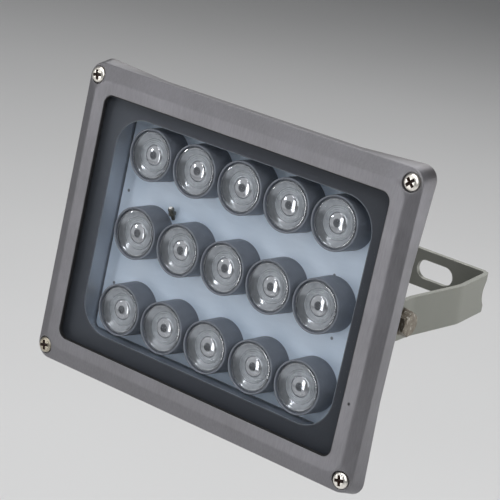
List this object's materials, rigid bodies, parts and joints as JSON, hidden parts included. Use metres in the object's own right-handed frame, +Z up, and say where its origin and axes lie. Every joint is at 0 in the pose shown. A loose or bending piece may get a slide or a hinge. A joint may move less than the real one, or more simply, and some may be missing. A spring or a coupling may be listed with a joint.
{
  "type": "infrared illuminator",
  "caption": "Wall-mounted infrared illuminator: lensed lamps behind a framed glass window in a finned cast head that tilts on two bolts in a slotted strap bracket.",
  "frame": {"origin": "centre of the bracket base's wall face, midway between the two slots", "axes": "+X along the bracket's base, to the viewer's right; +Y into the wall, so the lamps face -Y; +Z up"},
  "size_m": [0.1824, 0.1063, 0.1416],
  "materials": {
    "bracket_paint": "matte",
    "bolt_steel": "satin",
    "washer_steel": "satin",
    "head_paint": "matte",
    "screw_steel": "polished",
    "seal_rubber": "matte",
    "window_glass": "polished",
    "glass_print": "matte",
    "board_mask": "satin",
    "emitter": "gloss",
    "holder_plastic": "satin",
    "lens_clear": "gloss",
    "sensor_resin": "gloss",
    "lead_metal": "polished",
    "driver_laminate": "satin",
    "capacitor_sleeve": "gloss",
    "coil_core": "matte",
    "chip_plastic": "matte",
    "terminal_plastic": "satin",
    "lead_sheath": "satin",
    "gland_plastic": "matte"
  },
  "bodies": {
    "bracket": {"mounting_bracket": "bracket_paint"},
    "head": {"pivot_bolts": "bolt_steel", "pivot_washers": "washer_steel", "front_bezel": "head_paint", "bezel_screws": "screw_steel", "front_seal": "seal_rubber", "window_glass": "window_glass", "glass_border": "glass_print", "rear_seal": "seal_rubber", "rear_housing": "head_paint", "led_board": "board_mask", "board_screws": "screw_steel", "led_emitters": "emitter", "light_sensor": "sensor_resin", "sensor_leads": "lead_metal", "driver_board": "driver_laminate", "driver_board_screws": "screw_steel", "driver_capacitors": "capacitor_sleeve", "driver_coil": "coil_core", "driver_chips": "chip_plastic", "terminal_block": "terminal_plastic", "led_leads": "lead_sheath", "rear_cover": "head_paint", "cover_gasket": "seal_rubber", "cover_screws": "screw_steel", "gland_body": "gland_plastic", "gland_locknut": "gland_plastic", "gland_seal": "seal_rubber", "gland_nut": "gland_plastic", "lens_holder_row1_column1": "holder_plastic", "lens_holder_row1_column2": "holder_plastic", "lens_holder_row1_column3": "holder_plastic", "lens_holder_row1_column4": "holder_plastic", "lens_holder_row1_column5": "holder_plastic", "lens_holder_row2_column1": "holder_plastic", "lens_holder_row2_column2": "holder_plastic", "lens_holder_row2_column3": "holder_plastic", "lens_holder_row2_column4": "holder_plastic", "lens_holder_row2_column5": "holder_plastic", "lens_holder_row3_column1": "holder_plastic", "lens_holder_row3_column2": "holder_plastic", "lens_holder_row3_column3": "holder_plastic", "lens_holder_row3_column4": "holder_plastic", "lens_holder_row3_column5": "holder_plastic", "lens_row1_column1": "lens_clear", "lens_row1_column2": "lens_clear", "lens_row1_column3": "lens_clear", "lens_row1_column4": "lens_clear", "lens_row1_column5": "lens_clear", "lens_row2_column1": "lens_clear", "lens_row2_column2": "lens_clear", "lens_row2_column3": "lens_clear", "lens_row2_column4": "lens_clear", "lens_row2_column5": "lens_clear", "lens_row3_column1": "lens_clear", "lens_row3_column2": "lens_clear", "lens_row3_column3": "lens_clear", "lens_row3_column4": "lens_clear", "lens_row3_column5": "lens_clear"}
  },
  "joints": [
    {"name": "head_tilt", "type": "hinge", "parent": "bracket", "child": "head", "pos_m": [0, -0.065, 0], "axis": [1, 0, 0], "range_deg": [-82, 98]}
  ]
}
